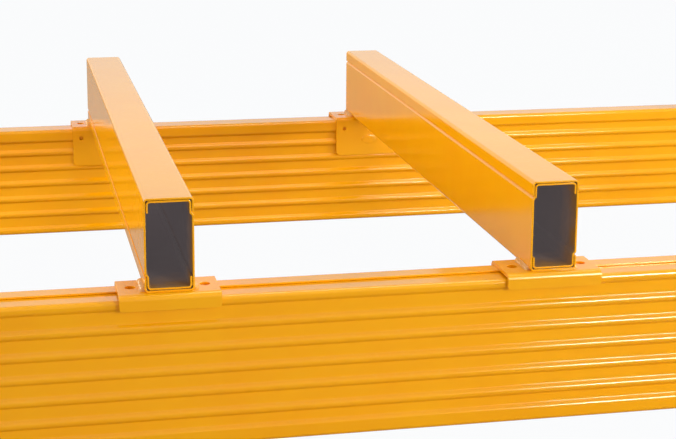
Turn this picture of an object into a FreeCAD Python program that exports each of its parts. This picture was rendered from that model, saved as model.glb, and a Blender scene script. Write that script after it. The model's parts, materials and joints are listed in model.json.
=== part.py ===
import FreeCAD, Part
import math
import os

# Rack beam level with a pair of raised cross bearers, millimetres.
# X runs along the beams, Y across the level from the front beam (-Y) to the rear beam (+Y),
# Z up. The origin is on the floor plane, midway between the beams and midway along them.

# overall sizes
BEAM_LENGTH = 1500.0
LEVEL_DEPTH = 900.0          # outer face of the front beam to outer face of the rear beam
BEAM_HEIGHT = 160.0
BEAM_WIDTH = 50.0
BEARER_SPACING = 400.0       # centre line to centre line
BEARER_WIDTH = 50.0
BEARER_HEIGHT = 96.0
BEARER_SETBACK = 3.0         # bearer end behind the beam's outer face

# beam section: two identical ribbed channels, one turned half round, flanges lapped
BEAM_SHEET = 2.0
BEAM_BEND = 3.5              # centre-line radius of the flange corners
RIB_COUNT = 5
RIB_DEPTH = 3.5
RIB_CROWN = 3.0
RIB_SLOPE = 3.5              # height that each sloping side of a rib takes up
RIB_BEND = 2.5
FIRST_RIB = 31.0             # top of the section down to the middle of the first rib's upper slope
LAST_RIB = 29.5              # bottom of the section up to the middle of the last rib's lower slope
TALL_BAND = 17.0             # plain band beside the outer flange
SHORT_BAND = 11.5            # plain band beside the inner flange
OUTER_FLANGE = 23.0
FLANGE_LAP = 13.0            # how far the inner flange reaches under the other's outer flange
LAP_GAP = 0.3                # paint gap between the lapped flanges

# bearer section: two identical lipped channels, nested back to back
BEARER_SHEET = 2.0
BEARER_BEND = 3.0
NEST_GAP = 0.6
LIP_HEIGHT = 15.0
JOGGLE_RISE = 4.0
JOGGLE_BEND = 2.0

# saddle: folded strap that hooks over the beam
SADDLE_SHEET = 4.0
SADDLE_SHOULDER = 26.0       # plate each side of the bearer
SADDLE_BEND = 4.0
SADDLE_INNER_CLEARANCE = 0.5
SADDLE_OUTER_CLEARANCE = 1.0
SADDLE_LIP = 12.3            # drop of the outer lip below the top of the beam
SADDLE_LEG = 54.0            # drop of the inner leg below the top of the beam
SADDLE_LIP_CORNER = 3.5
SADDLE_LEG_CORNER = 7.0
PLATE_HOLE_OFFSET = 12.5     # from the bearer's side
PLATE_HOLE_DIAMETER = 11.0
LEG_HOLE_DIAMETER = 6.0
LEG_HOLE_EDGE = 12.5
LEG_HOLE_DROP = 12.5         # below the top of the beam
DIMPLE_WIDTH = 24.0
DIMPLE_HEIGHT = 15.0
DIMPLE_DEPTH = 2.0
DIMPLE_DROP = 30.0
BEAD_LEG = 5.0
BEAD_BULGE = 0.6             # middle of a bead's face, as a share of its leg
BEAD_END_GAP = 5.0           # bead ends short of the bearer's cut end

# end connector: folded plate with three hooks, on each end of each beam
CONNECTOR_SHEET = 4.0
CONNECTOR_BEND = 4.0
CONNECTOR_REACH = 48.0       # beam end to the free edge
CONNECTOR_FORWARD = 10.0     # outer face of the connector in front of the beam's outer face
CONNECTOR_INWARD = 10.0      # welded leg past the beam's inner face
CONNECTOR_CORNER = 8.0
HOOK_COUNT = 3
HOOK_PITCH = 75.0
HOOK_FIRST = 18.0            # bottom of the lowest hook's root
HOOK_ROOT = 18.0
HOOK_MARGIN = 14.0           # connector above the top hook
HOOK_NOSE_DROP = 8.0
HOOK_NOSE = 9.0
HOOK_POINT = 3.0             # flat left at the bottom of the nose
HOOK_GAP = 3.0               # room for the upright's wall
BOLT_HOLE_DIAMETER = 11.0
BOLT_HOLE_EDGE = 24.0
END_BEAD = 5.0
END_BEAD_TOE = 0.3           # thickness that the end bead runs out to on the beam

# locking pin through each connector
PIN_DIAMETER = 8.0
PIN_CLEARANCE = 0.1
PIN_HEAD_DIAMETER = 16.0
PIN_HEAD_HEIGHT = 4.0
PIN_DOME = 2.0
PIN_LENGTH = 22.0
PIN_TAPER = 2.5

# places worked out from the sizes above
HALF_DEPTH = LEVEL_DEPTH / 2
HALF_LENGTH = BEAM_LENGTH / 2
BEAM_AXIS_Y = HALF_DEPTH - BEAM_WIDTH / 2
BEARER_BASE = BEAM_HEIGHT + SADDLE_SHEET
BEARER_LENGTH = LEVEL_DEPTH - 2 * BEARER_SETBACK
RIB_HEIGHT = RIB_CROWN + RIB_SLOPE
RIB_PITCH = (BEAM_HEIGHT - FIRST_RIB - LAST_RIB - RIB_HEIGHT) / (RIB_COUNT - 1)
INNER_FLANGE = BEAM_WIDTH - OUTER_FLANGE + FLANGE_LAP
SADDLE_LENGTH = BEARER_WIDTH + 2 * SADDLE_SHOULDER
CONNECTOR_HEIGHT = HOOK_FIRST + (HOOK_COUNT - 1) * HOOK_PITCH + HOOK_ROOT + HOOK_MARGIN

X_AXIS = FreeCAD.Vector(1, 0, 0)
Y_AXIS = FreeCAD.Vector(0, 1, 0)
Z_AXIS = FreeCAD.Vector(0, 0, 1)
ORIGIN = FreeCAD.Vector(0, 0, 0)


def vec(x, y, z=0.0):
    return FreeCAD.Vector(x, y, z)


def offset_polygon(points, distance, closed=False):
    """Mitred copy of a 2-D path, moved to the left of its direction of travel."""
    count = len(points)
    moved = []
    for i, point in enumerate(points):
        before = points[i] - points[i - 1] if (closed or i > 0) else points[1] - points[0]
        after = points[(i + 1) % count] - points[i] if (closed or i < count - 1) else before
        left = vec(-before.y, before.x).normalize() + vec(-after.y, after.x).normalize()
        left = left * (2 / left.dot(left))
        moved.append(point + left * distance)
    return moved


def rounded_edges(points, radii):
    """Lines joined by tangent arcs along an open 2-D path."""
    edges = []
    start = points[0]
    for i in range(1, len(points) - 1):
        into = (points[i] - points[i - 1]).normalize()
        out = (points[i + 1] - points[i]).normalize()
        turn = into.getAngle(out)
        tangent = radii[i - 1] * math.tan(turn / 2)
        first = points[i] - into * tangent
        last = points[i] + out * tangent
        inward = (out - into).normalize()
        centre = points[i] + inward * (radii[i - 1] / math.cos(turn / 2))
        middle = centre - inward * radii[i - 1]
        edges.append(Part.makeLine(start, first))
        edges.append(Part.Arc(first, middle, last).toShape())
        start = last
    edges.append(Part.makeLine(start, points[-1]))
    return edges


def sheet_face(points, radii, sheet):
    """Closed outline of a folded sheet from its centre line and the centre-line bend radii."""
    sides = []
    for side in (1, -1):
        path = offset_polygon(points, side * sheet / 2)
        side_radii = []
        for i, radius in enumerate(radii, start=1):
            into = points[i] - points[i - 1]
            out = points[i + 1] - points[i]
            turns_left = 1 if into.cross(out).z > 0 else -1
            side_radii.append(radius - turns_left * side * sheet / 2)
        sides.append((path, rounded_edges(path, side_radii)))
    (left, left_edges), (right, right_edges) = sides
    caps = [Part.makeLine(left[0], right[0]), Part.makeLine(left[-1], right[-1])]
    wire = Part.Wire(Part.__sortEdges__(left_edges + right_edges + caps))
    return Part.Face(wire)


def placed(shape, matrix):
    moved = shape.copy()
    moved.Placement = FreeCAD.Placement(matrix)
    return moved


def swept_along_x(face, length):
    """Face drawn in (y, z), swept along X and centred on X = 0."""
    matrix = FreeCAD.Matrix(0, 0, 1, -length / 2, 1, 0, 0, 0, 0, 1, 0, 0, 0, 0, 0, 1)
    return placed(face.extrude(Z_AXIS * length), matrix)


def swept_along_y(face, length):
    """Face drawn in (x, z), swept along Y and centred on Y = 0."""
    matrix = FreeCAD.Matrix(1, 0, 0, 0, 0, 0, -1, length / 2, 0, 1, 0, 0, 0, 0, 0, 1)
    return placed(face.extrude(Z_AXIS * length), matrix)


def turned(shape, axis, centre=ORIGIN):
    """Copy turned half round about an axis."""
    copy = shape.copy()
    copy.rotate(centre, axis, 180)
    return copy


def shifted(shape, x=0.0, y=0.0, z=0.0):
    copy = shape.copy()
    copy.translate(vec(x, y, z))
    return copy


def mirrored_in_x(shape):
    return shape.mirror(ORIGIN, X_AXIS)


def mirrored_in_y(shape):
    return shape.mirror(ORIGIN, Y_AXIS)


def hole(x, y, z, axis, diameter, depth):
    """Cylinder centred on a point, for cutting a hole along an axis."""
    start = vec(x, y, z) - axis * (depth / 2)
    return Part.makeCylinder(diameter / 2, depth, start, axis)


def corner_cutters(half, bottom, radius, y):
    """Cutters that round both lower corners of a saddle's leg or lip, which hangs in XZ."""
    cutters = []
    depth = 2 * SADDLE_SHEET
    for side in (-1, 1):
        block = Part.makeBox(radius, depth, radius)
        corner_x = side * half - max(side, 0) * radius
        block.translate(vec(corner_x, y - depth / 2, bottom))
        rounding = hole(side * (half - radius), y, bottom + radius, Y_AXIS, 2 * radius, 2 * depth)
        cutters.append(block.cut(rounding))
    return cutters


# ---- beam channels ----

def beam_web_path():
    """Ribbed web from top to bottom, (distance inward from the web's face, height)."""
    crown = BEAM_SHEET / 2
    valley = crown + RIB_DEPTH
    half = RIB_SLOPE / 2
    path = []
    tall = BEAM_HEIGHT - TALL_BAND
    path += [vec(crown, tall + half), vec(valley, tall - half)]
    for rib in range(RIB_COUNT):
        upper = BEAM_HEIGHT - FIRST_RIB - rib * RIB_PITCH
        lower = upper - RIB_HEIGHT
        path += [vec(valley, upper + half), vec(crown, upper - half)]
        path += [vec(crown, lower + half), vec(valley, lower - half)]
    path += [vec(valley, SHORT_BAND + half), vec(crown, SHORT_BAND - half)]
    return path


def beam_channel_face():
    """Channel with its outer flange on top, its inner flange just above the other's outer one."""
    middle = BEAM_SHEET / 2
    top = BEAM_HEIGHT - middle
    bottom = BEAM_SHEET + LAP_GAP + middle
    path = [vec(OUTER_FLANGE, top), vec(middle, top)]
    path += beam_web_path()
    path += [vec(middle, bottom), vec(INNER_FLANGE, bottom)]
    radii = [BEAM_BEND] + [RIB_BEND] * (len(path) - 4) + [BEAM_BEND]
    return sheet_face(path, radii, BEAM_SHEET)


def beam_channels():
    """Inner and outer channel of the rear beam: the web of the first faces the other beam."""
    face = beam_channel_face()
    face.translate(vec(HALF_DEPTH - BEAM_WIDTH, 0))
    inner = swept_along_x(face, BEAM_LENGTH)
    axis_point = vec(0, BEAM_AXIS_Y, BEAM_HEIGHT / 2)
    outer = turned(inner, X_AXIS, axis_point)
    return {"inner_channel": inner, "outer_channel": outer}


# ---- bearer channels ----

def bearer_channel_face():
    """Channel with its web on the left, its outer flange and lip on top and on the right."""
    middle = BEARER_SHEET / 2
    nest = middle + BEARER_SHEET + NEST_GAP
    top = BEARER_HEIGHT - middle
    right = BEARER_WIDTH - middle
    joggle_foot = LIP_HEIGHT + BEARER_SHEET
    path = [
        vec(right, BEARER_HEIGHT - LIP_HEIGHT),
        vec(right, top),
        vec(middle, top),
        vec(middle, joggle_foot + JOGGLE_RISE),
        vec(nest, joggle_foot),
        vec(nest, nest),
        vec(BEARER_WIDTH - nest, nest),
        vec(BEARER_WIDTH - nest, LIP_HEIGHT),
    ]
    radii = [BEARER_BEND, BEARER_BEND, JOGGLE_BEND, JOGGLE_BEND, BEARER_BEND, BEARER_BEND]
    return sheet_face(path, radii, BEARER_SHEET)


def bearer_channels():
    """Both channels of the left bearer."""
    face = bearer_channel_face()
    left_side = -BEARER_SPACING / 2 - BEARER_WIDTH / 2
    face.translate(vec(left_side, BEARER_BASE))
    upper = swept_along_y(face, BEARER_LENGTH)
    axis_point = vec(-BEARER_SPACING / 2, 0, BEARER_BASE + BEARER_HEIGHT / 2)
    lower = turned(upper, Y_AXIS, axis_point)
    return {"upper_channel": upper, "lower_channel": lower}


# ---- saddles and their welds ----

def saddle_leg_y():
    """Middle of the inner leg's sheet, for the rear beam."""
    return HALF_DEPTH - BEAM_WIDTH - SADDLE_INNER_CLEARANCE - SADDLE_SHEET / 2


def saddle_dimple(leg_y):
    """Shallow oval boss pressed out of the inner leg, away from the beam."""
    outer = Part.Ellipse(ORIGIN, DIMPLE_WIDTH / 2, DIMPLE_HEIGHT / 2)
    inner = Part.Ellipse(ORIGIN, DIMPLE_WIDTH / 2 - DIMPLE_DEPTH, DIMPLE_HEIGHT / 2 - DIMPLE_DEPTH)
    base = Part.Wire(outer.toShape())
    crown = Part.Wire(inner.toShape())
    crown.translate(Z_AXIS * DIMPLE_DEPTH)
    boss = Part.makeLoft([base, crown], True)
    face_y = leg_y - SADDLE_SHEET / 2
    matrix = FreeCAD.Matrix(1, 0, 0, 0, 0, 0, -1, face_y, 0, 1, 0, BEAM_HEIGHT - DIMPLE_DROP, 0, 0, 0, 1)
    return placed(boss, matrix)


def saddle():
    """Strap over the rear beam, centred on X = 0."""
    middle = SADDLE_SHEET / 2
    leg_y = saddle_leg_y()
    lip_y = HALF_DEPTH + SADDLE_OUTER_CLEARANCE + middle
    path = [
        vec(leg_y, BEAM_HEIGHT - SADDLE_LEG),
        vec(leg_y, BEAM_HEIGHT + middle),
        vec(lip_y, BEAM_HEIGHT + middle),
        vec(lip_y, BEAM_HEIGHT - SADDLE_LIP),
    ]
    strap = swept_along_x(sheet_face(path, [SADDLE_BEND, SADDLE_BEND], SADDLE_SHEET), SADDLE_LENGTH)
    half = SADDLE_LENGTH / 2
    cutters = []
    for side in (-1, 1):
        plate_x = side * (BEARER_WIDTH / 2 + PLATE_HOLE_OFFSET)
        cutters.append(hole(plate_x, BEAM_AXIS_Y, BEAM_HEIGHT + middle, Z_AXIS,
                            PLATE_HOLE_DIAMETER, 2 * SADDLE_SHEET))
        leg_x = side * (half - LEG_HOLE_EDGE)
        cutters.append(hole(leg_x, leg_y, BEAM_HEIGHT - LEG_HOLE_DROP, Y_AXIS,
                            LEG_HOLE_DIAMETER, 2 * SADDLE_SHEET))
    cutters += corner_cutters(half, BEAM_HEIGHT - SADDLE_LEG, SADDLE_LEG_CORNER, leg_y)
    cutters += corner_cutters(half, BEAM_HEIGHT - SADDLE_LIP, SADDLE_LIP_CORNER, lip_y)
    return strap.fuse(saddle_dimple(leg_y)).cut(cutters).removeSplitter()


def saddle_beads():
    """Two fillet welds along the bottom edges of a bearer centred on X = 0, on the rear saddle."""
    far_end = HALF_DEPTH - BEARER_SETBACK - BEAD_END_GAP
    near_end = HALF_DEPTH - BEAM_WIDTH + BEAD_END_GAP
    beads = []
    for side in (-1, 1):
        foot = side * (BEARER_WIDTH / 2 - BEARER_BEND)
        toe = side * (BEARER_WIDTH / 2 + BEAD_LEG)
        wall = side * BEARER_WIDTH / 2
        outline = [vec(foot, BEARER_BASE), vec(toe, BEARER_BASE), vec(wall, BEARER_BASE + BEAD_LEG)]
        rise = BEAD_LEG * BEAD_BULGE
        bulge = vec(wall + side * rise, BEARER_BASE + rise)
        edges = [
            Part.makeLine(outline[0], outline[1]),
            Part.Arc(outline[1], bulge, outline[2]).toShape(),
            Part.makeLine(outline[2], outline[0]),
        ]
        bead = swept_along_y(Part.Face(Part.Wire(edges)), far_end - near_end)
        beads.append(shifted(bead, y=(far_end + near_end) / 2))
    return beads


# ---- beam ends ----

def connector_y():
    """Middle of the face leg's sheet, for the rear beam."""
    return HALF_DEPTH + CONNECTOR_FORWARD - CONNECTOR_SHEET / 2


def free_edge_x():
    """Middle of the hooks' sheet at the right-hand end."""
    return HALF_LENGTH + CONNECTOR_REACH - CONNECTOR_SHEET / 2


def pin_x():
    return HALF_LENGTH + CONNECTOR_REACH - BOLT_HOLE_EDGE


def hook_heights():
    return [HOOK_FIRST + i * HOOK_PITCH for i in range(HOOK_COUNT)]


def mid_heights():
    """Heights midway between neighbouring hooks, where the bolt holes are."""
    return [z + (HOOK_ROOT + HOOK_PITCH) / 2 for z in hook_heights()[:-1]]


def pin_height():
    return (mid_heights()[0] + mid_heights()[-1]) / 2


def upright_sweep(path, radii, z0, z1):
    """Folded sheet drawn in (x, y), standing from z0 to z1."""
    solid = sheet_face(path, radii, CONNECTOR_SHEET).extrude(Z_AXIS * (z1 - z0))
    return shifted(solid, z=z0)


def connector_hook(z):
    """Tab bent back from the free edge, with a nose that drops behind the upright's slot."""
    face_y = connector_y()
    edge_x = free_edge_x()
    back_y = face_y - CONNECTOR_SHEET / 2 - HOOK_GAP
    path = [vec(edge_x - 2 * CONNECTOR_BEND, face_y), vec(edge_x, face_y), vec(edge_x, back_y - HOOK_NOSE)]
    tab = upright_sweep(path, [CONNECTOR_BEND], z, z + HOOK_ROOT)
    sheet_x = edge_x - CONNECTOR_SHEET / 2
    corners = [
        vec(sheet_x, back_y, z + HOOK_ROOT),
        vec(sheet_x, back_y, z - HOOK_NOSE_DROP),
        vec(sheet_x, back_y - HOOK_POINT, z - HOOK_NOSE_DROP),
        vec(sheet_x, back_y - HOOK_NOSE, z),
        vec(sheet_x, back_y - HOOK_NOSE, z + HOOK_ROOT),
    ]
    nose = Part.Face(Part.makePolygon(corners + corners[:1])).extrude(X_AXIS * CONNECTOR_SHEET)
    return tab.fuse(nose)


def connector():
    """Connector at the right-hand end of the rear beam."""
    face_y = connector_y()
    edge_x = free_edge_x()
    leg_x = HALF_LENGTH + CONNECTOR_SHEET / 2
    leg_end = HALF_DEPTH - BEAM_WIDTH - CONNECTOR_INWARD
    path = [vec(edge_x - CONNECTOR_BEND, face_y), vec(leg_x, face_y), vec(leg_x, leg_end)]
    body = upright_sweep(path, [CONNECTOR_BEND], 0, CONNECTOR_HEIGHT)
    for z in hook_heights():
        body = body.fuse(connector_hook(z))
    depth = 2 * CONNECTOR_SHEET
    cutters = [hole(pin_x(), face_y, z, Y_AXIS, BOLT_HOLE_DIAMETER, depth) for z in mid_heights()]
    cutters.append(hole(pin_x(), face_y, pin_height(), Y_AXIS, PIN_DIAMETER + 2 * PIN_CLEARANCE, depth))
    cutters += leg_corner_cutters(leg_x, leg_end)
    return body.cut(cutters).removeSplitter()


def leg_corner_cutters(leg_x, leg_end):
    """Cutters that round the top and bottom inner corners of the welded leg."""
    cutters = []
    for z, side in ((0, 1), (CONNECTOR_HEIGHT, -1)):
        block = Part.makeBox(2 * CONNECTOR_SHEET, CONNECTOR_CORNER, CONNECTOR_CORNER)
        block.translate(vec(leg_x - CONNECTOR_SHEET, leg_end, min(z, z + side * CONNECTOR_CORNER)))
        centre = (leg_x, leg_end + CONNECTOR_CORNER, z + side * CONNECTOR_CORNER)
        cutters.append(block.cut(hole(*centre, X_AXIS, 2 * CONNECTOR_CORNER, 4 * CONNECTOR_SHEET)))
    return cutters


def beam_outline(grow):
    """Mitred outline of the whole beam section in (y, z), grown outward by a distance."""
    web = beam_web_path()
    face = offset_polygon([vec(BEAM_SHEET / 2, BEAM_HEIGHT)] + web + [vec(BEAM_SHEET / 2, 0)],
                          -BEAM_SHEET / 2)
    half = [vec(p.x - BEAM_WIDTH / 2, p.y - BEAM_HEIGHT / 2) for p in face]
    whole = half + [vec(-p.x, -p.y) for p in half]
    return [vec(p.x + BEAM_AXIS_Y, p.y + BEAM_HEIGHT / 2) for p in offset_polygon(whole, -grow, True)]


def end_weld(channels):
    """Fillet weld round the beam's right-hand end, against the connector."""
    loops = []
    for grow, x in ((END_BEAD, HALF_LENGTH), (END_BEAD_TOE, HALF_LENGTH - END_BEAD)):
        corners = [vec(x, p.x, p.y) for p in beam_outline(grow)]
        loops.append(Part.makePolygon(corners + corners[:1]))
    solid = Part.makeLoft(loops, True, True)
    corners = [vec(HALF_LENGTH - 2 * END_BEAD, p.x, p.y) for p in beam_outline(-BEAM_SHEET / 2)]
    core = Part.Face(Part.makePolygon(corners + corners[:1])).extrude(X_AXIS * 3 * END_BEAD)
    floor = Part.makeBox(4 * END_BEAD, 2 * BEAM_WIDTH, BEAM_WIDTH)
    floor.translate(vec(HALF_LENGTH - 3 * END_BEAD, BEAM_AXIS_Y - BEAM_WIDTH, -BEAM_WIDTH))
    return solid.cut([core, floor] + list(channels))


def lock_pin():
    """Headed pin through the rear right-hand connector, its head on the outside."""
    tip_y = -PIN_LENGTH
    taper_y = tip_y + PIN_TAPER
    radius = PIN_DIAMETER / 2
    tip = Part.makeCone(radius - PIN_TAPER / 2, radius, PIN_TAPER, vec(0, tip_y), Y_AXIS)
    shank = Part.makeCylinder(radius, -taper_y, vec(0, taper_y), Y_AXIS)
    head = Part.makeCylinder(PIN_HEAD_DIAMETER / 2, PIN_HEAD_HEIGHT, ORIGIN, Y_AXIS)
    rim = [e for e in head.Edges if e.BoundBox.YMin > PIN_HEAD_HEIGHT / 2 and e.Closed]
    head = head.makeFillet(PIN_DOME, rim)
    pin = tip.fuse([shank, head]).removeSplitter()
    return shifted(pin, pin_x(), HALF_DEPTH + CONNECTOR_FORWARD, pin_height())


# ---- the whole level ----

SWAPPED_ENDS = {
    "rear_saddle": "front_saddle",
    "front_saddle": "rear_saddle",
    "rear_beads": "front_beads",
    "front_beads": "rear_beads",
}


def left_bearer():
    """Every piece of the left bearer. The right one is the same, turned end for end."""
    pieces = bearer_channels()
    centre_x = -BEARER_SPACING / 2
    beads = [shifted(bead, x=centre_x).cut(list(pieces.values())) for bead in saddle_beads()]
    pieces["rear_saddle"] = shifted(saddle(), x=centre_x)
    pieces["front_saddle"] = turned(pieces["rear_saddle"], Z_AXIS, vec(centre_x, 0))
    pieces["rear_beads"] = Part.makeCompound(beads)
    pieces["front_beads"] = mirrored_in_y(pieces["rear_beads"])
    return pieces


def build():
    nodes = {}
    channels = beam_channels()
    for name, shape in channels.items():
        nodes["rear_beam_" + name] = shape
        nodes["front_beam_" + name] = turned(shape, Z_AXIS)

    weld = end_weld(channels.values())
    ends = {"connector": connector(), "end_weld": weld, "lock_pin": lock_pin()}
    for name, right in ends.items():
        left = mirrored_in_x(right)
        nodes["rear_beam_right_" + name] = right
        nodes["rear_beam_left_" + name] = left
        nodes["front_beam_left_" + name] = turned(right, Z_AXIS)
        nodes["front_beam_right_" + name] = turned(left, Z_AXIS)

    for name, shape in left_bearer().items():
        nodes["left_bearer_" + name] = shape
        nodes["right_bearer_" + SWAPPED_ENDS.get(name, name)] = turned(shape, Z_AXIS)
    return nodes


os.makedirs("parts", exist_ok=True)
for node, shape in build().items():
    shape.exportStep(os.path.join("parts", node + ".step"))
    solids = shape.Solids
    print(node, len(solids), "solids", shape.isValid(), round(sum(s.Volume for s in solids)))
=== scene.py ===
import json
import math

import bmesh
import bpy
from mathutils import Matrix, Vector

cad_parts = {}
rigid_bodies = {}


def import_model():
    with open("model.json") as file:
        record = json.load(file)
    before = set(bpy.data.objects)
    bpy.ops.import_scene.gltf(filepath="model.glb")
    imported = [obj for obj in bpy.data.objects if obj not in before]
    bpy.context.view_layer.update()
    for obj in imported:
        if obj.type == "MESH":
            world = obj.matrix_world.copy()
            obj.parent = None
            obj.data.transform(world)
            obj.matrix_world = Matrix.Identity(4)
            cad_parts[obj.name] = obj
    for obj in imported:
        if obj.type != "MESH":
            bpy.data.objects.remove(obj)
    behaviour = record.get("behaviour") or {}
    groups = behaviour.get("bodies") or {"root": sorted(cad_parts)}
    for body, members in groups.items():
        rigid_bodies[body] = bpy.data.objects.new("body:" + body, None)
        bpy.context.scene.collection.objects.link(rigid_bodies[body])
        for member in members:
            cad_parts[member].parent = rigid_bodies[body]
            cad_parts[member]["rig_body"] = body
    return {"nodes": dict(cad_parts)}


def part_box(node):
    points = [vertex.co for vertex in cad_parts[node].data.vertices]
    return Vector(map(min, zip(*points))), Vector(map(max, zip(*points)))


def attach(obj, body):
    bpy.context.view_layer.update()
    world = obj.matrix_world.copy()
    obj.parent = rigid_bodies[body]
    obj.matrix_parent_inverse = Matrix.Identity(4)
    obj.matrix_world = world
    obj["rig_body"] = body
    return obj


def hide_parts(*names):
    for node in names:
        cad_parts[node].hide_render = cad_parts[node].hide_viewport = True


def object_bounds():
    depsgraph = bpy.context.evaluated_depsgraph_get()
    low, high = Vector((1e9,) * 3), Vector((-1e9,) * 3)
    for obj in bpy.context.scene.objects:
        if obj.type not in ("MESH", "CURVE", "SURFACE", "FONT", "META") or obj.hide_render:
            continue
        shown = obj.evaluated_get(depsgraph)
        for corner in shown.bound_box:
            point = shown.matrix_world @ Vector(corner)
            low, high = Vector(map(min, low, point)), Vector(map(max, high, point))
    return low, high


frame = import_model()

CAD_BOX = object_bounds()
MM = 0.001


# ---- beams ----
# Each beam is two identical channels of 2 mm cold-formed steel strip, roll-formed with five
# shallow ribs, lapped flange over flange and stitch welded, then powder coated in one piece.

BEAM_SHEET = 2.0
BEAM_BEND = 3.5
RIB_BEND = 2.5
RIB_DEPTH = 3.5
RIB_CROWN = 3.0
RIB_SLOPE = 3.5
RIB_COUNT = 5
RIB_CORNERS = 4
FIRST_RIB = 31.0
LAST_RIB = 29.5
TALL_BAND = 17.0
SHORT_BAND = 11.5
OUTER_FLANGE = 23.0
BEND_STEPS = 6
CUT_EDGE = 0.35              # rounding that the paint leaves on a sheared edge
EDGE_STEPS = 2
CUT_EDGE_ANGLE = 60          # degrees; sharper edges are cut ones, gentler are bends
SMOOTH_ANGLE = 50            # degrees; gentler edges are shaded smooth
FIRST_RIB_ORDER = 100        # places in the line: the ribs' corners follow the first flange's
LAST_FLANGE_ORDER = 1000     # and the last flange's corners follow the ribs'

YELLOW = "#F7AB06"
YELLOW_THIN = "#F6A605"      # where the powder lies thinner
YELLOW_DUST = "#F5B547"      # a breath of pale dust


def add(tree, kind, inputs=(), **settings):
    """Adds a node. settings are its properties, inputs pairs of a socket and a value or an output."""
    made = tree.nodes.new(kind)
    for name, value in settings.items():
        setattr(made, name, value)
    for socket, value in inputs:
        if isinstance(value, bpy.types.NodeSocket):
            tree.links.new(value, made.inputs[socket])
        else:
            made.inputs[socket].default_value = value
    return made


def linear(hex_colour):
    """sRGB hex to the linear colour that a shader socket takes."""
    parts = [int(hex_colour[i:i + 2], 16) / 255 for i in (1, 3, 5)]
    return [c / 12.92 if c <= 0.04045 else ((c + 0.055) / 1.055) ** 2.4 for c in parts] + [1.0]


def new_tree(name, sockets):
    """Geometry tree with a mesh in, a mesh out and the named inputs."""
    tree = bpy.data.node_groups.new(name, "GeometryNodeTree")
    tree.interface.new_socket("Mesh", in_out="OUTPUT", socket_type="NodeSocketGeometry")
    tree.interface.new_socket("Mesh", in_out="INPUT", socket_type="NodeSocketGeometry")
    for label, kind in sockets:
        tree.interface.new_socket(label, in_out="INPUT", socket_type="NodeSocket" + kind)
    return tree, tree.nodes.new("NodeGroupInput"), tree.nodes.new("NodeGroupOutput")


def give_tree(piece, tree, **values):
    """Puts a geometry tree on a piece; each value is for the input of that name."""
    modifier = piece.modifiers.new(tree.name, "NODES")
    modifier.node_group = tree
    for socket in tree.interface.items_tree:
        key = socket.name.lower().replace(" ", "_")
        if socket.in_out == "INPUT" and key in values:
            modifier[socket.identifier] = values[key]


def plain_mesh(piece):
    """Turns a piece and its modifiers into a plain mesh."""
    bpy.context.view_layer.update()
    graph = bpy.context.evaluated_depsgraph_get()
    mesh = bpy.data.meshes.new_from_object(piece.evaluated_get(graph))
    piece.modifiers.clear()
    piece.data = mesh


def smoothed(piece):
    """Shades a piece smooth across its bends, while its flat faces still look flat."""
    piece.data.shade_smooth()
    piece.data.set_sharp_from_angle(angle=math.radians(SMOOTH_ANGLE))
    level = piece.modifiers.new("flat faces stay flat", "WEIGHTED_NORMAL")
    level.keep_sharp = True
    level.weight = 100
    plain_mesh(piece)


def corner_points(name, rows):
    """Object of loose points, each row (x, y, z, bend radius, place in line), in millimetres."""
    mesh = bpy.data.meshes.new(name)
    mesh.from_pydata([(x * MM, y * MM, z * MM) for x, y, z, bend, order in rows], [], [])
    bend_radius = mesh.attributes.new("bend", "FLOAT", "POINT")
    bend_radius.data.foreach_set("value", [row[3] * MM for row in rows])
    order = mesh.attributes.new("order", "FLOAT", "POINT")
    order.data.foreach_set("value", [row[4] for row in rows])
    piece = bpy.data.objects.new(name, mesh)
    bpy.context.scene.collection.objects.link(piece)
    return piece


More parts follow.
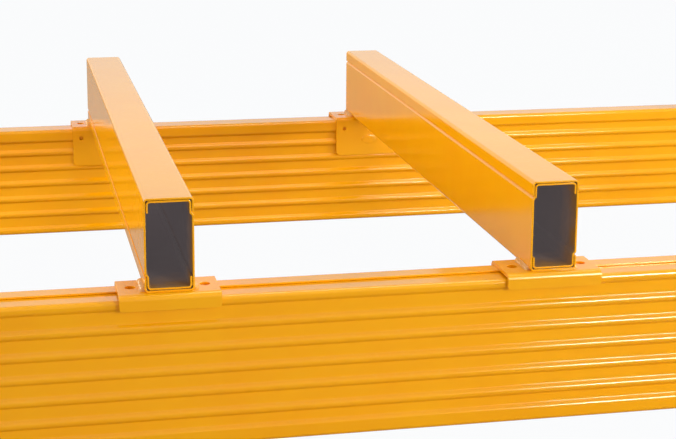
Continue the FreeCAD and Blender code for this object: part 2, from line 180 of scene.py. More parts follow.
def rib_corner_tree():
    """Adds the four corners of every rib to a channel's flange corners."""
    tree, given, out = new_tree("rib corners", [
        ("Rib count", "Int"), ("Rib pitch", "Float"), ("First rib", "Float"), ("Valley", "Float"),
        ("Rise", "Float"), ("Half slope", "Float"), ("Rib height", "Float"), ("Bend", "Float"),
        ("Handed", "Float"), ("Start", "Float")])
    index = add(tree, "GeometryNodeInputIndex").outputs[0]
    in_rib = add(tree, "ShaderNodeMath", [(0, index), (1, RIB_CORNERS)], operation="MODULO").outputs[0]
    rib = add(tree, "ShaderNodeMath", [(0, index), (1, RIB_CORNERS)], operation="DIVIDE").outputs[0]
    rib = add(tree, "ShaderNodeMath", [(0, rib)], operation="FLOOR").outputs[0]
    from_middle = add(tree, "ShaderNodeMath", [(0, in_rib), (1, (RIB_CORNERS - 1) / 2)],
                      operation="SUBTRACT").outputs[0]
    distance = add(tree, "ShaderNodeMath", [(0, from_middle)], operation="ABSOLUTE").outputs[0]
    on_crown = add(tree, "ShaderNodeMath", [(0, distance), (1, 1.0)], operation="LESS_THAN").outputs[0]
    lower = add(tree, "ShaderNodeMath", [(0, from_middle), (1, 0.0)], operation="GREATER_THAN").outputs[0]
    odd = add(tree, "ShaderNodeMath", [(0, in_rib), (1, 2.0)], operation="MODULO").outputs[0]
    side = add(tree, "ShaderNodeMath", [(0, odd), (1, -2.0), (2, 1.0)], operation="MULTIPLY_ADD").outputs[0]
    rise = add(tree, "ShaderNodeMath", [(0, on_crown), (1, given.outputs["Rise"])],
               operation="MULTIPLY").outputs[0]
    y = add(tree, "ShaderNodeMath", [(0, given.outputs["Valley"]), (1, rise)], operation="ADD").outputs[0]
    drop = add(tree, "ShaderNodeMath", [(0, rib), (1, given.outputs["Rib pitch"])],
               operation="MULTIPLY").outputs[0]
    drop = add(tree, "ShaderNodeMath", [(0, lower), (1, given.outputs["Rib height"]), (2, drop)],
               operation="MULTIPLY_ADD").outputs[0]
    z = add(tree, "ShaderNodeMath", [(0, given.outputs["First rib"]), (1, drop)],
            operation="SUBTRACT").outputs[0]
    slope = add(tree, "ShaderNodeMath", [(0, side), (1, given.outputs["Half slope"])],
                operation="MULTIPLY").outputs[0]
    z = add(tree, "ShaderNodeMath", [(0, slope), (1, given.outputs["Handed"]), (2, z)],
            operation="MULTIPLY_ADD").outputs[0]
    position = add(tree, "ShaderNodeCombineXYZ",
                   [("X", given.outputs["Start"]), ("Y", y), ("Z", z)]).outputs[0]
    count = add(tree, "ShaderNodeMath", [(0, given.outputs["Rib count"]), (1, RIB_CORNERS)],
                operation="MULTIPLY").outputs[0]
    points = add(tree, "GeometryNodePoints", [("Count", count), ("Position", position)]).outputs[0]
    bent = add(tree, "GeometryNodeStoreNamedAttribute",
               [("Geometry", points), ("Name", "bend"), ("Value", given.outputs["Bend"])]).outputs[0]
    place = add(tree, "ShaderNodeMath", [(0, index), (1, FIRST_RIB_ORDER)], operation="ADD").outputs[0]
    ordered = add(tree, "GeometryNodeStoreNamedAttribute",
                  [("Geometry", bent), ("Name", "order"), ("Value", place)]).outputs[0]
    flanges = add(tree, "GeometryNodeMeshToPoints", [("Mesh", given.outputs["Mesh"])]).outputs[0]
    joined = add(tree, "GeometryNodeJoinGeometry", [(0, ordered)])
    tree.links.new(flanges, joined.inputs[0])
    tree.links.new(joined.outputs[0], out.inputs[0])
    return tree


def folded_sheet_tree():
    """Joins the corners in line, rounds them to their bend radii and sweeps the line."""
    tree, given, out = new_tree("folded sheet", [
        ("Sweep", "Vector"), ("Bend steps", "Int"), ("Finish", "Material")])
    parts = add(tree, "GeometryNodeSeparateComponents", [("Geometry", given.outputs["Mesh"])])
    corners = add(tree, "GeometryNodeMeshToPoints", [("Mesh", parts.outputs["Mesh"])]).outputs[0]
    both = add(tree, "GeometryNodeJoinGeometry", [(0, corners)])
    tree.links.new(parts.outputs["Point Cloud"], both.inputs[0])
    order = add(tree, "GeometryNodeInputNamedAttribute", [("Name", "order")]).outputs["Attribute"]
    line = add(tree, "GeometryNodePointsToCurves",
               [("Points", both.outputs[0]), ("Weight", order)]).outputs[0]
    bend = add(tree, "GeometryNodeInputNamedAttribute", [("Name", "bend")]).outputs["Attribute"]
    rounded = add(tree, "GeometryNodeFilletCurve",
                  [("Curve", line), ("Count", given.outputs["Bend steps"]), ("Radius", bend)],
                  mode="POLY").outputs[0]
    wire = add(tree, "GeometryNodeCurveToMesh", [("Curve", rounded)]).outputs[0]
    swept = add(tree, "GeometryNodeExtrudeMesh",
                [("Mesh", wire), ("Offset", given.outputs["Sweep"]), ("Offset Scale", 1.0)],
                mode="EDGES").outputs["Mesh"]
    real = add(tree, "GeometryNodeRealizeInstances", [("Geometry", swept)]).outputs[0]
    painted = add(tree, "GeometryNodeSetMaterial",
                  [("Geometry", real), ("Material", given.outputs["Finish"])]).outputs[0]
    tree.links.new(painted, out.inputs[0])
    return tree


RIB_TREE = rib_corner_tree()
SHEET_TREE = folded_sheet_tree()


# Polyester powder coat on steel: even, saturated yellow under a clear gloss skin, with the fine
# orange peel that melted powder sets to, slow waves in the thin sheet, and a little dust.
PAINT_IOR = 1.5
CLOUD_SIZE = 60.0            # patches where the powder lies thinner
SPECK_SIZE = 7.0
MOST_DUST = 0.35             # share of dust, on the welds also of painted highlight, in the thickest speck
WAVE_SIZE = 90.0
WAVE_DEPTH = 0.6
PEEL_SIZE = 2.4              # drawn a little coarse, so that it shows
PEEL_DEPTH = 0.05


def powder_coat(name, colour, thin, dust, roughness):
    paint = bpy.data.materials.new(name)
    paint.use_nodes = True
    tree = paint.node_tree
    shader = tree.nodes["Principled BSDF"]
    shader.inputs["IOR"].default_value = PAINT_IOR
    shader.inputs["Specular Tint"].default_value = linear("#FFEFD4")
    place = add(tree, "ShaderNodeTexCoord").outputs["Object"]
    cloud = add(tree, "ShaderNodeTexNoise",
                [("Vector", place), ("Scale", 1 / (CLOUD_SIZE * MM)), ("Detail", 3.0)]).outputs["Fac"]
    cover = add(tree, "ShaderNodeValToRGB", [("Fac", cloud)])
    cover.color_ramp.elements[0].position = 0.3
    cover.color_ramp.elements[0].color = linear(thin)
    cover.color_ramp.elements[1].position = 0.65
    cover.color_ramp.elements[1].color = linear(colour)
    specks = add(tree, "ShaderNodeTexNoise",
                 [("Vector", place), ("Scale", 1 / (SPECK_SIZE * MM)), ("Detail", 5.0)]).outputs["Fac"]
    dusty = add(tree, "ShaderNodeMapRange",
                [("Value", specks), ("From Min", 0.52), ("From Max", 0.9),
                 ("To Max", MOST_DUST)]).outputs[0]
    # the third colour goes on upward faces only, in specks: dust, and on the welds also a painted highlight
    # where they face the light from above
    upward = add(tree, "ShaderNodeNewGeometry").outputs["Normal"]
    upward = add(tree, "ShaderNodeSeparateXYZ", [(0, upward)]).outputs["Z"]
    lying = add(tree, "ShaderNodeMath", [(0, dusty), (1, upward)], operation="MULTIPLY",
                use_clamp=True).outputs[0]
    mixed = add(tree, "ShaderNodeMix", [(0, lying), (6, cover.outputs[0]), (7, linear(dust))],
                data_type="RGBA").outputs[2]
    tree.links.new(mixed, shader.inputs["Base Color"])
    gloss = add(tree, "ShaderNodeMapRange",
                [("Value", specks), ("From Min", 0.3), ("From Max", 0.8),
                 ("To Min", roughness * 0.85), ("To Max", roughness * 1.35)]).outputs[0]
    tree.links.new(gloss, shader.inputs["Roughness"])
    wave = add(tree, "ShaderNodeTexNoise",
               [("Vector", place), ("Scale", 1 / (WAVE_SIZE * MM)), ("Detail", 1.0)]).outputs["Fac"]
    slow = add(tree, "ShaderNodeBump",
               [("Strength", 0.5), ("Distance", WAVE_DEPTH * MM), ("Height", wave)])
    peel = add(tree, "ShaderNodeTexNoise",
               [("Vector", place), ("Scale", 1 / (PEEL_SIZE * MM)), ("Detail", 1.0)]).outputs["Fac"]
    bump = add(tree, "ShaderNodeBump",
               [("Strength", 0.3), ("Distance", PEEL_DEPTH * MM), ("Height", peel),
                ("Normal", slow.outputs[0])])
    tree.links.new(bump.outputs[0], shader.inputs["Normal"])
    return paint


BEAM_PAINT = powder_coat("powder coat yellow on beams", YELLOW, YELLOW_THIN, YELLOW_DUST, 0.11)


def finished_sheet(piece, node, sweep, sheet, paint):
    """Sweeps, thickens and edges a folded sheet, in place of its CAD node."""
    give_tree(piece, SHEET_TREE, sweep=sweep, bend_steps=BEND_STEPS, finish=paint)
    wall = piece.modifiers.new("sheet thickness", "SOLIDIFY")
    wall.thickness = sheet * MM
    wall.offset = 0
    wall.use_even_offset = True
    wall.use_quality_normals = True
    edge = piece.modifiers.new("painted cut edge", "BEVEL")
    edge.width = CUT_EDGE * MM
    edge.segments = EDGE_STEPS
    edge.limit_method = "ANGLE"
    edge.angle_limit = math.radians(CUT_EDGE_ANGLE)
    plain_mesh(piece)
    smoothed(piece)
    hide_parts(node)
    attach(piece, frame["nodes"][node]["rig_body"])
    return piece


def beam_channel(node, web_y, inward, top):
    """One ribbed channel. inward is +1 or -1 along Y, and top tells if its outer flange is on top."""
    low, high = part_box(node)
    handed = 1 if top else -1
    edge_z = (high.z if top else low.z) / MM
    far_z = (low.z if top else high.z) / MM
    middle = BEAM_SHEET / 2

    def y(depth):
        return web_y + inward * depth

    def z(depth):
        return edge_z - handed * depth

    crown = middle
    valley = crown + RIB_DEPTH
    half = RIB_SLOPE / 2
    height = BEAM_HEIGHT
    outer_z = z(middle)
    inner_z = far_z + handed * middle
    x = low.x / MM
    rows = [
        (x, y(OUTER_FLANGE), outer_z, 0, 0),
        (x, y(middle), outer_z, BEAM_BEND, 1),
        (x, y(crown), z(TALL_BAND - half), RIB_BEND, 2),
        (x, y(valley), z(TALL_BAND + half), RIB_BEND, 3),
        (x, y(valley), z(height - SHORT_BAND - half), RIB_BEND, LAST_FLANGE_ORDER),
        (x, y(crown), z(height - SHORT_BAND + half), RIB_BEND, LAST_FLANGE_ORDER + 1),
        (x, y(middle), inner_z, BEAM_BEND, LAST_FLANGE_ORDER + 2),
        (x, web_y + inward * (high.y - low.y) / MM, inner_z, 0, LAST_FLANGE_ORDER + 3),
    ]
    piece = corner_points(node + "_sheet", rows)
    rib_height = RIB_CROWN + RIB_SLOPE
    pitch = (height - FIRST_RIB - LAST_RIB - rib_height) / (RIB_COUNT - 1)
    give_tree(piece, RIB_TREE, rib_count=RIB_COUNT, rib_pitch=handed * pitch * MM,
              first_rib=z(FIRST_RIB) * MM, valley=y(valley) * MM,
              rise=-inward * RIB_DEPTH * MM, half_slope=half * MM,
              rib_height=handed * rib_height * MM, bend=RIB_BEND * MM, handed=float(handed), start=low.x)
    finished_sheet(piece, node, (high.x - low.x, 0, 0), BEAM_SHEET, BEAM_PAINT)
    return piece


BEAM_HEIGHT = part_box("rear_beam_inner_channel")[1].z / MM
for side, outward in (("front", -1), ("rear", 1)):
    for web, top in (("inner", True), ("outer", False)):
        name = f"{side}_beam_{web}_channel"
        low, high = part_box(name)
        facing = outward if web == "inner" else -outward
        web_y = (low.y if facing > 0 else high.y) / MM
        beam_channel(name, web_y, facing, top)


# ---- cross bearers ----
# Each bearer is two identical lipped channels of 2 mm strip, nested into a box 50 by 96 mm. The
# lower edge of each outer wall is joggled inward to let the other channel's flange lie flush.

BEARER_SHEET = 2.0
BEARER_BEND = 3.0
NEST_GAP = 0.6
LIP_HEIGHT = 15.0
SEAM_GAP = 1.2               # between a lip's edge and the foot of the joggle
JOGGLE_RISE = 2.6
JOGGLE_BEND = 1.5
LINING_REACH = 320.0         # depth from a mouth at which the grey is palest; its paling with depth is painted light
GLOW_FROM = 25.0             # depth at which the glow of bounced light is full
BLOTCH_SIZE = 18.0
RAGGED_EDGE = 8.0            # how far the powder's edge wanders


# Inside, the powder hardly reaches: dull brown where the powder drifted in thinly and baked at the mouths,
# then a grey painted paler the deeper it lies, painted light for the light that fades down the tube.
def tube_lining(name, half_length):
    lining = bpy.data.materials.new(name)
    lining.use_nodes = True
    tree = lining.node_tree
    shader = tree.nodes["Principled BSDF"]
    shader.inputs["IOR"].default_value = PAINT_IOR
    place = add(tree, "ShaderNodeTexCoord").outputs["Object"]
    y = add(tree, "ShaderNodeSeparateXYZ", [(0, place)]).outputs["Y"]
    from_middle = add(tree, "ShaderNodeMath", [(0, y)], operation="ABSOLUTE").outputs[0]
    inward = add(tree, "ShaderNodeMath", [(0, half_length), (1, from_middle)],
                 operation="SUBTRACT").outputs[0]
    blotch = add(tree, "ShaderNodeTexNoise",
                 [("Vector", place), ("Scale", 1 / (BLOTCH_SIZE * MM)), ("Detail", 4.0)]).outputs["Fac"]
    ragged = add(tree, "ShaderNodeMapRange",
                 [("Value", blotch), ("From Min", 0.3), ("From Max", 0.7),
                  ("To Min", -RAGGED_EDGE * MM), ("To Max", RAGGED_EDGE * MM)]).outputs[0]
    inward = add(tree, "ShaderNodeMath", [(0, inward), (1, ragged)], operation="ADD").outputs[0]
    depth = add(tree, "ShaderNodeMath", [(0, inward), (1, LINING_REACH * MM)],
                operation="DIVIDE", use_clamp=True).outputs[0]
    tone = add(tree, "ShaderNodeValToRGB", [("Fac", depth)])
    ramp = tone.color_ramp
    ramp.elements[0].color = linear("#C08A34")
    ramp.elements[1].color = linear("#A8A3A0")
    # past the dark grey near the mouths the grey turns paler deeper in: painted light, not the strip's own
    # colour
    for mouth_share, colour in ((0.07, "#8A6A45"), (0.16, "#6C6460"), (0.4, "#86817E")):
        ramp.elements.new(mouth_share).color = linear(colour)
    tree.links.new(tone.outputs[0], shader.inputs["Base Color"])
    # a faint glow for the many bounces of light down the tube, none right at the mouths
    shader.inputs["Emission Color"].default_value = linear("#3A3537")
    bounced = add(tree, "ShaderNodeMapRange",
                  [("Value", inward), ("From Max", GLOW_FROM * MM)]).outputs[0]
    tree.links.new(bounced, shader.inputs["Emission Strength"])
    dull = add(tree, "ShaderNodeMapRange",
               [("Value", blotch), ("From Min", 0.3), ("From Max", 0.7),
                ("To Min", 0.5), ("To Max", 0.65)]).outputs[0]
    tree.links.new(dull, shader.inputs["Roughness"])
    bump = add(tree, "ShaderNodeBump", [("Strength", 0.4), ("Distance", 0.1 * MM), ("Height", blotch)])
    tree.links.new(bump.outputs[0], shader.inputs["Normal"])
    return lining


BEARER_PAINT = powder_coat("powder coat yellow on bearers", YELLOW, YELLOW_THIN, YELLOW_DUST, 0.12)
BEARER_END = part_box("left_bearer_upper_channel")[1].y
TUBE_LINING = tube_lining("mill scale inside bearers", BEARER_END)


def bearer_channel(node, web_left, flange_up):
    """Web, outer flange and lip, then the joggled edge and the nested flange and lip."""
    low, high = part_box(node)
    width = (high.x - low.x) / MM
    top = (high.z if flange_up else low.z) / MM
    hand = 1 if flange_up else -1
    height = BEARER_HEIGHT
    half = BEARER_SHEET / 2
    nest = half + BEARER_SHEET + NEST_GAP
    joggle_foot = LIP_HEIGHT + SEAM_GAP
    section = [
        (width - half, height - LIP_HEIGHT, 0),
        (width - half, height - half, BEARER_BEND),
        (half, height - half, BEARER_BEND),
        (half, joggle_foot + JOGGLE_RISE, JOGGLE_BEND),
        (nest, joggle_foot, JOGGLE_BEND),
        (nest, nest, BEARER_BEND),
        (width - nest, nest, BEARER_BEND),
        (width - nest, LIP_HEIGHT, 0),
    ]
    rows = []
    for order, (x, z, bend) in enumerate(section):
        across = low.x / MM + x if web_left else high.x / MM - x
        rows.append((across, low.y / MM, top - hand * (height - z), bend, order))
    piece = corner_points(node + "_sheet", rows)
    finished_sheet(piece, node, (0, high.y - low.y, 0), BEARER_SHEET, BEARER_PAINT)
    piece.data.materials.append(TUBE_LINING)
    middle = Vector(((low.x + high.x) / 2, 0, (TUBE_BASE + TUBE_TOP) / 2))
    for face in piece.data.polygons:
        across = min(face.center.x - low.x, high.x - face.center.x)
        depth = min(across, face.center.z - TUBE_BASE, TUBE_TOP - face.center.z)
        on_cut_end = abs(face.normal.y) > 0.5
        away = face.center - middle
        outward = face.normal.x * away.x + face.normal.z * away.z > 0
        in_lap = outward and depth < LAPPED_TO * MM
        face.material_index = 0 if on_cut_end or in_lap or depth < LINED_FROM * MM else 1
    return piece


TUBE_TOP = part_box("left_bearer_upper_channel")[1].z
TUBE_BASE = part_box("left_bearer_lower_channel")[0].z
BEARER_HEIGHT = (TUBE_TOP - TUBE_BASE) / MM
LINED_FROM = 1.95            # just under the outer sheet's thickness
LAPPED_TO = 3.0              # past the outer face of a nested flange
for side in ("left", "right"):
    bearer_channel(side + "_bearer_upper_channel", side == "left", True)
    bearer_channel(side + "_bearer_lower_channel", side == "right", False)


# ---- saddles ----
# A 4 mm strap folded over each beam under each bearer end: a short lip outside, a long leg with a
# pressed oval inside, two bolt holes in the plate. Laser cut, brake folded, deburred and coated.

DEBURR = 0.6
MERGE_WITHIN = 0.002
FLAT_WITHIN = 1              # degrees between faces that are merged into one


def softened(node, width, paint):
    """Copy of a CAD node with its sharp edges rounded, in the node's place."""
    mesh = frame["nodes"][node].data.copy()
    loose = bmesh.new()
    loose.from_mesh(mesh)
    bmesh.ops.remove_doubles(loose, verts=loose.verts, dist=MERGE_WITHIN * MM)
    bmesh.ops.dissolve_limit(loose, angle_limit=math.radians(FLAT_WITHIN),
                             verts=loose.verts, edges=loose.edges)
    loose.to_mesh(mesh)
    loose.free()
    mesh.materials.clear()
    mesh.materials.append(paint)
    piece = bpy.data.objects.new(node + "_piece", mesh)
    bpy.context.scene.collection.objects.link(piece)
    edge = piece.modifiers.new("softened edge", "BEVEL")
    edge.width = width * MM
    edge.segments = EDGE_STEPS
    edge.limit_method = "ANGLE"
    edge.angle_limit = math.radians(SMOOTH_ANGLE)
    edge.use_clamp_overlap = True
    plain_mesh(piece)
    smoothed(piece)
    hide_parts(node)
    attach(piece, frame["nodes"][node]["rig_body"])
    return piece


SADDLE_PAINT = powder_coat("powder coat yellow on saddles", YELLOW, YELLOW_THIN, YELLOW_DUST, 0.2)
for side in ("left", "right"):
    for end in ("front", "rear"):
        softened(f"{side}_bearer_{end}_saddle", DEBURR, SADDLE_PAINT)


# ---- weld beads ----
# MIG fillet welds, steel wire laid in overlapping ripples: two along each bearer's bottom edges on
# every saddle, and one round each beam's end on its connector. Coated over with the same powder.

RIPPLE_PITCH = 4.2
RIPPLE_LENGTH = 6.6
BEAD_RADIUS = 4.9
BEAD_GRAIN = 0.55            # of the grid that the drops are fused on
DROP_FINENESS = 3
SKIN_LEVEL = 0.1
BEAD_MERGE = 0.02
BEAD_TIP = 3.0               # the first drop's middle, in from the end of the bead
BEAD_CREASE = 70             # degrees; gentler edges are shaded smooth
RIPPLE_UNEVENNESS = 0.15
FIRST_SADDLE_SEED = 11       # each bead gets a seed of its own
FIRST_END_SEED = 31


def weld_tree():
    """Lays overlapping drops of metal along a path, fuses them and trims them to a box."""
    tree, given, out = new_tree("weld bead", [
        ("Ripple pitch", "Float"), ("Ripple length", "Float"), ("Radius", "Float"),
        ("Unevenness", "Float"), ("Seed", "Int"), ("Grain", "Float"),
        ("Lowest", "Vector"), ("Highest", "Vector"), ("Finish", "Material")])
    curve = add(tree, "GeometryNodeMeshToCurve", [("Mesh", given.outputs["Mesh"])]).outputs[0]
    spots = add(tree, "GeometryNodeCurveToPoints",
                [("Curve", curve), ("Length", given.outputs["Ripple pitch"])], mode="LENGTH")
    along = add(tree, "ShaderNodeMath",
                [(0, given.outputs["Ripple length"]), (1, 0.5)], operation="MULTIPLY").outputs[0]
    size = add(tree, "ShaderNodeCombineXYZ",
               [("X", given.outputs["Radius"]), ("Y", given.outputs["Radius"]),
                ("Z", along)]).outputs[0]
    less = add(tree, "ShaderNodeMath", [(0, 1.0), (1, given.outputs["Unevenness"])],
               operation="SUBTRACT").outputs[0]
    more = add(tree, "ShaderNodeMath", [(0, 1.0), (1, given.outputs["Unevenness"])],
               operation="ADD").outputs[0]
    vary = add(tree, "FunctionNodeRandomValue",
               [("Min", less), ("Max", more), ("Seed", given.outputs["Seed"])],
               data_type="FLOAT_VECTOR")
    size = add(tree, "ShaderNodeVectorMath", [(0, size), (1, vary.outputs[0])],
               operation="MULTIPLY").outputs[0]
    drop = add(tree, "GeometryNodeMeshIcoSphere",
               [("Radius", 1.0), ("Subdivisions", DROP_FINENESS)]).outputs[0]
    drops = add(tree, "GeometryNodeInstanceOnPoints",
                [("Points", spots.outputs["Points"]), ("Instance", drop),
                 ("Rotation", spots.outputs["Rotation"]), ("Scale", size)]).outputs[0]
    real = add(tree, "GeometryNodeRealizeInstances", [("Geometry", drops)]).outputs[0]
    fused = add(tree, "GeometryNodeMeshToVolume",
                [("Mesh", real), ("Voxel Size", given.outputs["Grain"]), ("Density", 1.0)],
                resolution_mode="VOXEL_SIZE").outputs[0]
    skin = add(tree, "GeometryNodeVolumeToMesh",
               [("Volume", fused), ("Threshold", SKIN_LEVEL)]).outputs[0]
    place = add(tree, "GeometryNodeInputPosition").outputs[0]
    place = add(tree, "ShaderNodeVectorMath", [(0, place), (1, given.outputs["Lowest"])],
                operation="MAXIMUM").outputs[0]
    place = add(tree, "ShaderNodeVectorMath", [(0, place), (1, given.outputs["Highest"])],
                operation="MINIMUM").outputs[0]
    trimmed = add(tree, "GeometryNodeSetPosition", [("Geometry", skin), ("Position", place)]).outputs[0]
    merged = add(tree, "GeometryNodeMergeByDistance",
                 [("Geometry", trimmed), ("Distance", BEAD_MERGE * MM)]).outputs[0]
    painted = add(tree, "GeometryNodeSetMaterial",
                  [("Geometry", merged), ("Material", given.outputs["Finish"])]).outputs[0]
    tree.links.new(painted, out.inputs[0])
    return tree


def weld_bead(name, body, path, seed, lowest, highest):
    """One bead along a path of points in metres, kept between two corners of a box."""
    mesh = bpy.data.meshes.new(name)
    mesh.from_pydata(path, [(i, i + 1) for i in range(len(path) - 1)], [])
    piece = bpy.data.objects.new(name, mesh)
    bpy.context.scene.collection.objects.link(piece)
    give_tree(piece, WELD_TREE, ripple_pitch=RIPPLE_PITCH * MM, ripple_length=RIPPLE_LENGTH * MM,
              radius=BEAD_RADIUS * MM, unevenness=RIPPLE_UNEVENNESS, seed=seed, grain=BEAD_GRAIN * MM,
              lowest=lowest, highest=highest, finish=WELD_PAINT)
    plain_mesh(piece)
    piece.data.shade_smooth()
    piece.data.set_sharp_from_angle(angle=math.radians(BEAD_CREASE))
    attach(piece, body)
    return piece


WELD_TREE = weld_tree()
# its pale grey-pink specks on upward faces are partly dust and partly a painted highlight; its coat is
# darker and greyer than the beams' yellow
WELD_PAINT = powder_coat("powder coat over weld ripples", "#DFA246", "#D0A26C", "#E6D2BE", 0.22)
seed = FIRST_SADDLE_SEED
for side in ("left", "right"):
    body = side + "_bearer"
    low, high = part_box(body + "_upper_channel")
    for end in ("front", "rear"):
        node = f"{body}_{end}_beads"
        bead_low, bead_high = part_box(node)
        for hand, wall in ((-1, low.x), (1, high.x)):
            path = [(wall, bead_low.y + BEAD_TIP * MM, bead_low.z),
                    (wall, bead_high.y - BEAD_TIP * MM, bead_low.z)]
            inner = wall - hand * BEARER_SHEET * MM
            lowest = (inner if hand > 0 else bead_low.x, bead_low.y, bead_low.z)
            highest = (bead_high.x if hand > 0 else inner, bead_high.y, bead_high.z)
            label = f"{body}_{end}_bead_{'left' if hand < 0 else 'right'}"
            bead = weld_bead(label, body, path, seed, lowest, highest)
            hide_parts(node)
            seed += 1


# The end beads run up one side of the beam, over the top and down the other, into every rib.
def beam_side_line():
    """One side of the beam's section from the top down: depth in from its face, and height."""
    half = RIB_SLOPE / 2
    rib_height = RIB_CROWN + RIB_SLOPE
    pitch = (BEAM_HEIGHT - FIRST_RIB - LAST_RIB - rib_height) / (RIB_COUNT - 1)
    line = [(0, BEAM_HEIGHT), (0, BEAM_HEIGHT - TALL_BAND + half),
            (RIB_DEPTH, BEAM_HEIGHT - TALL_BAND - half)]
    for rib in range(RIB_COUNT):
        upper = BEAM_HEIGHT - FIRST_RIB - rib * pitch
        line += [(RIB_DEPTH, upper + half), (0, upper - half)]
        line += [(0, upper - rib_height + half), (RIB_DEPTH, upper - rib_height - half)]
    return line + [(RIB_DEPTH, SHORT_BAND + half), (0, SHORT_BAND - half), (0, 0)]


seed = FIRST_END_SEED
for side, outward in (("front", -1), ("rear", 1)):
    inner_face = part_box(f"{side}_beam_inner_channel")[outward < 0].y
    outer_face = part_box(f"{side}_beam_outer_channel")[outward > 0].y
    section = [(inner_face + outward * d * MM, z * MM) for d, z in reversed(beam_side_line())]
    section += [(outer_face - outward * d * MM, (BEAM_HEIGHT - z) * MM)
                for d, z in reversed(beam_side_line())]
    for hand, label in ((-1, "left"), (1, "right")):
        node = f"{side}_beam_{label}_end_weld"
        low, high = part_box(node)
        x = high.x if hand > 0 else low.x
        path = [(x, y, z) for y, z in section]
        bead = weld_bead(node + "_bead", "beams", path, seed, low, high)
        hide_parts(node)
        seed += 1


# ---- end connectors ----
# A 4 mm plate folded to an angle on each beam end, its free edge cut and bent into three hooks
# that drop into an upright's slots, with two bolt holes. Blanked, folded, welded on, coated.

CONNECTOR_PAINT = powder_coat("powder coat yellow on connectors", YELLOW, YELLOW_THIN, YELLOW_DUST, 0.2)
for side in ("front", "rear"):
    for label in ("left", "right"):
        softened(f"{side}_beam_{label}_connector", DEBURR, CONNECTOR_PAINT)


# ---- locking pins ----
# Turned mild-steel pins, bright zinc plated: each is pushed through its connector so that the
# hooks can't lift out of the upright.

ZINC_GRAIN = 3.0


# Zinc plate is a silvery metal with a cool cast, faintly clouded by handling.
def zinc_plate(name):
    plate = bpy.data.materials.new(name)
    plate.use_nodes = True
    tree = plate.node_tree
    shader = tree.nodes["Principled BSDF"]
    shader.inputs["Metallic"].default_value = 1.0
    place = add(tree, "ShaderNodeTexCoord").outputs["Object"]
    grain = add(tree, "ShaderNodeTexNoise",
                [("Vector", place), ("Scale", 1 / (ZINC_GRAIN * MM)), ("Detail", 4.0)]).outputs["Fac"]
    tone = add(tree, "ShaderNodeValToRGB", [("Fac", grain)])
    tone.color_ramp.elements[0].color = linear("#B4B8BC")
    tone.color_ramp.elements[1].color = linear("#DADDE0")
    tree.links.new(tone.outputs[0], shader.inputs["Base Color"])
    rough = add(tree, "ShaderNodeMapRange",
                [("Value", grain), ("To Min", 0.2), ("To Max", 0.42)]).outputs[0]
    tree.links.new(rough, shader.inputs["Roughness"])
    bump = add(tree, "ShaderNodeBump", [("Strength", 0.25), ("Distance", 0.05 * MM), ("Height", grain)])
    tree.links.new(bump.outputs[0], shader.inputs["Normal"])
    return plate


ZINC = zinc_plate("bright zinc plate")
for side in ("front", "rear"):
    for label in ("left", "right"):
        frame["nodes"][f"{side}_beam_{label}_lock_pin"].material_slots[0].material = ZINC


# ---- studio ----
# A plain pale floor, white to the camera and only a little paler than its lit grey in reflections,
# that keeps the object's shadow; a white sky; softboxes all round, strongest at the right.

def studio_white(tree):
    """1 where the background is seen or mirrored, 0 where it only lights the object."""
    path = add(tree, "ShaderNodeLightPath")
    seen = add(tree, "ShaderNodeMath",
               [(0, path.outputs["Is Camera Ray"]), (1, path.outputs["Is Glossy Ray"])],
               operation="MAXIMUM").outputs[0]
    return add(tree, "ShaderNodeMath", [(0, seen), (1, path.outputs["Is Transmission Ray"])],
               operation="MAXIMUM").outputs[0]


STUDIO_WHITE = "#FDFEFF"
FLOOR_GREY = "#9C9C9B"
FLOOR_SIZE = 60.0
FLOOR_DROP = 0.3             # floor below the beams' bottoms
FLOOR_WHITENESS = 0.97       # share of plain white seen straight
MIRRORED_WHITENESS = 0.15    # and seen in the paint
floor_mesh = bpy.data.meshes.new("studio_floor")
reach = FLOOR_SIZE / 2
ground = CAD_BOX[0][2] - FLOOR_DROP * MM
floor_mesh.from_pydata([(-reach, -reach, ground), (reach, -reach, ground),
                        (reach, reach, ground), (-reach, reach, ground)], [], [(0, 1, 2, 3)])
floor = bpy.data.objects.new("studio_floor", floor_mesh)
bpy.context.scene.collection.objects.link(floor)
floor_paint = bpy.data.materials.new("matt white studio floor")
floor_paint.use_nodes = True
tree = floor_paint.node_tree
tree.nodes.remove(tree.nodes["Principled BSDF"])
matt = add(tree, "ShaderNodeBsdfDiffuse", [("Color", linear(FLOOR_GREY))]).outputs[0]
glow = add(tree, "ShaderNodeEmission", [("Color", linear(STUDIO_WHITE)), ("Strength", 1.0)]).outputs[0]
mirrored = add(tree, "ShaderNodeLightPath").outputs["Is Glossy Ray"]
whiteness = add(tree, "ShaderNodeMapRange", [("Value", mirrored), ("To Min", FLOOR_WHITENESS),
                                             ("To Max", MIRRORED_WHITENESS)]).outputs[0]
share = add(tree, "ShaderNodeMath", [(0, studio_white(tree)), (1, whiteness)],
            operation="MULTIPLY").outputs[0]
mixed = add(tree, "ShaderNodeMixShader", [(0, share), (1, matt), (2, glow)]).outputs[0]
tree.links.new(mixed, tree.nodes["Material Output"].inputs["Surface"])
floor_mesh.materials.append(floor_paint)

HORIZON_LIGHT = 0.8
ZENITH_LIGHT = 0.05
world = bpy.data.worlds.new("white studio")
bpy.context.scene.world = world
world.use_nodes = True
tree = world.node_tree
background = tree.nodes["Background"]
background.inputs["Color"].default_value = linear(STUDIO_WHITE)
towards = add(tree, "ShaderNodeTexCoord").outputs["Generated"]
height = add(tree, "ShaderNodeSeparateXYZ", [(0, towards)]).outputs["Z"]
lit = add(tree, "ShaderNodeMapRange",
          [("Value", height), ("To Min", HORIZON_LIGHT), ("To Max", ZENITH_LIGHT)]).outputs[0]
level = add(tree, "ShaderNodeMapRange", [("Value", studio_white(tree)), ("To Min", lit)]).outputs[0]
tree.links.new(level, background.inputs["Strength"])


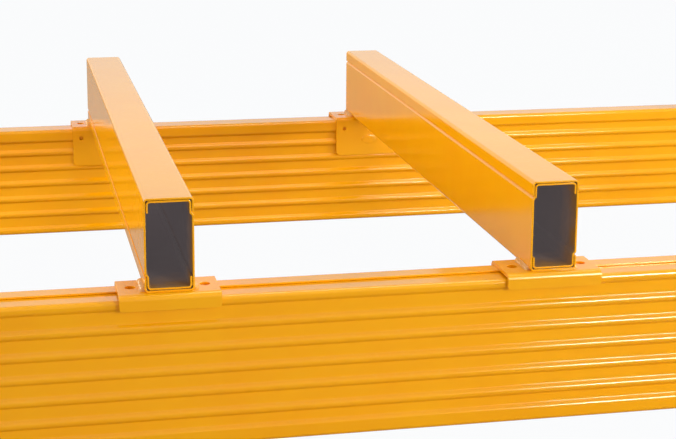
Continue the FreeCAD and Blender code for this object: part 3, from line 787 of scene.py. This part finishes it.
# Places, targets and sizes are in metres, power in watts. A lamp that is gleam only shows in the
# gloss of the paint and gives no other light: one of those draws the bright lines on the ribs.
def softbox(name, place, target, size, power, gleam_only=False):
    lamp = bpy.data.lights.new(name, "AREA")
    lamp.shape = "RECTANGLE"
    lamp.size, lamp.size_y = size
    lamp.energy = power
    holder = bpy.data.objects.new(name, lamp)
    holder.location = place
    holder.visible_camera = False
    holder.visible_diffuse = not gleam_only
    holder.rotation_euler = (Vector(target) - Vector(place)).to_track_quat("-Z", "Y").to_euler()
    bpy.context.scene.collection.objects.link(holder)


softbox("lamp_front_right", (1.28, -2.7, 0.8), (0.2, 0.0, 0.1), (0.5, 0.9), 29)
softbox("lamp_gleam_right", (1.4, -2.7, 0.85), (0.2, 0.0, 0.1), (0.7, 1.1), 60, gleam_only=True)
softbox("lamp_front_left", (-0.8, -2.8, 0.7), (0, 0.2, 0.1), (0.8, 0.8), 5)
softbox("lamp_low_right", (3.6, -1.8, 0.65), (0.1, -0.3, 0.1), (0.5, 0.5), 54)
softbox("lamp_right", (2.4, 0.2, 1.1), (0.1, 0.1, 0.1), (1.0, 1.0), 15)
softbox("lamp_left", (-2.4, 0.3, 0.5), (0.1, 0.1, 0.15), (1.0, 0.6), 10)
softbox("lamp_back_right", (2.5, 2.0, 0.8), (0.1, 0.3, 0.1), (1.0, 0.8), 18)
softbox("lamp_back_left", (-2.2, 2.0, 0.8), (0.1, 0.3, 0.1), (1.0, 0.8), 25)
softbox("lamp_inside_top", (0.3, -0.35, 1.3), (0.2, 0.45, 0.1), (0.8, 0.4), 7.5)
softbox("lamp_inside_left", (-1.6, -0.3, 0.8), (-0.2, 0.45, 0.1), (0.5, 0.5), 10)


# ---- camera ----
# Standing height, a little left of the middle, looking down and to the right along the bearers.

CAMERA_PLACE = (-363.5, -1988.3, 643.6)
CAMERA_YAW = 12.196
CAMERA_PITCH = 12.578
CAMERA_ROLL = 0.399
FRAME_WIDTH = 676
SENSOR_WIDTH = 36
CAMERA_LENS = 1620.7 / FRAME_WIDTH * SENSOR_WIDTH
CAMERA_SHIFT = -60 / FRAME_WIDTH
FARTHEST_SEEN = 200

camera_data = bpy.data.cameras.new("camera")
camera_data.sensor_width = SENSOR_WIDTH
camera_data.lens = CAMERA_LENS
camera_data.shift_y = CAMERA_SHIFT
camera_data.clip_end = FARTHEST_SEEN
camera = bpy.data.objects.new("camera", camera_data)
camera.location = [v * MM for v in CAMERA_PLACE]
yaw, pitch, roll = (math.radians(v) for v in (CAMERA_YAW, CAMERA_PITCH, CAMERA_ROLL))
forward = Vector((math.sin(yaw) * math.cos(pitch), math.cos(yaw) * math.cos(pitch), -math.sin(pitch)))
turn = forward.to_track_quat("-Z", "Y").to_matrix().to_4x4()
camera.rotation_euler = (turn @ Matrix.Rotation(roll, 4, "Z")).to_euler()
bpy.context.scene.collection.objects.link(camera)
bpy.context.scene.camera = camera
bpy.context.scene.view_settings.view_transform = "Standard"
